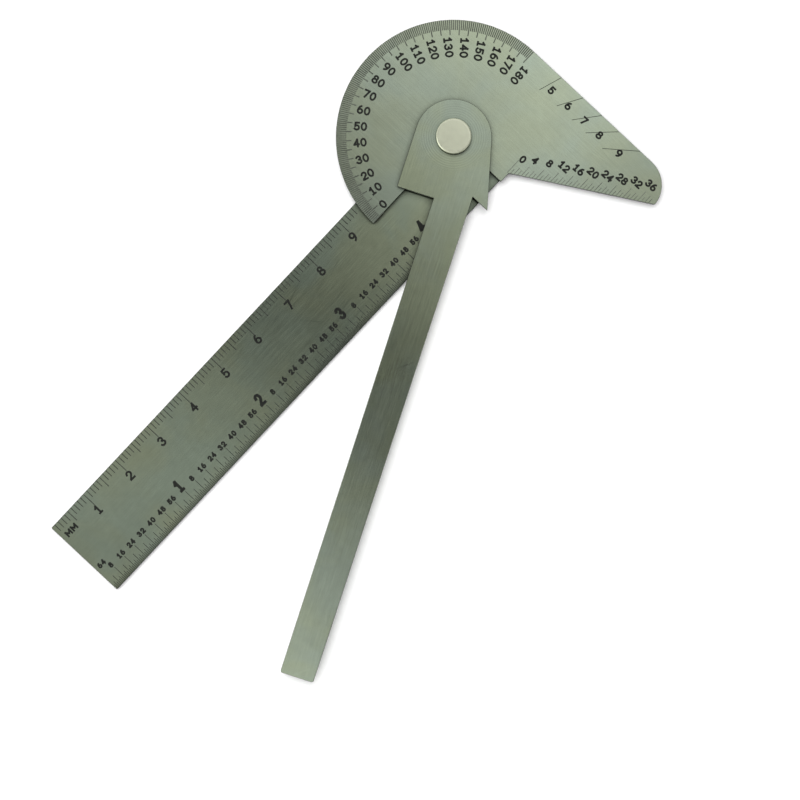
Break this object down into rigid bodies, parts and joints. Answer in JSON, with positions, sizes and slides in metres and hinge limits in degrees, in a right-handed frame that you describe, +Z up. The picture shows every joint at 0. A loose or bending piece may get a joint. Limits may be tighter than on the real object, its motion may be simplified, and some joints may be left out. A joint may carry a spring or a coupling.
{
  "type": "protractor gauge",
  "caption": "Flat steel pocket gauge: half-round protractor head with a drill-point lip, a graduated rule and a swing arm on a rivet pivot.",
  "frame": {"origin": "on the pivot axis, level with the underside of the rule, which is the face that the gauge rests on", "axes": "+Y along the rule from its free end towards the protractor head, +X across the rule towards the drill-point lip, +Z up out of the graduated faces"},
  "size_m": [0.0827, 0.1451, 0.0043],
  "materials": {
    "rule_steel": "satin",
    "head_steel": "satin",
    "arm_steel": "satin",
    "rivet_steel": "turned and polished",
    "washer_steel": "spring temper",
    "weld_steel": "as welded",
    "enamel": "black enamel fill"
  },
  "bodies": {
    "gauge": {"rule_blade": "rule_steel", "head_plate": "head_steel", "pivot_rivet": "rivet_steel", "drag_washer": "washer_steel", "spot_welds": "weld_steel", "degree_lines": "enamel", "degree_numbers": "enamel", "divider_marks": "enamel", "lip_lines": "enamel", "lip_numbers": "enamel", "metric_lines": "enamel", "metric_numbers": "enamel", "inch_lines": "enamel", "inch_numbers": "enamel"},
    "arm": {"swing_arm": "arm_steel"}
  },
  "joints": [
    {"name": "arm_swing", "type": "hinge", "parent": "gauge", "child": "arm", "pos_m": [0, 0, 0.0027], "axis": [0, 0, 1], "continuous": true}
  ]
}
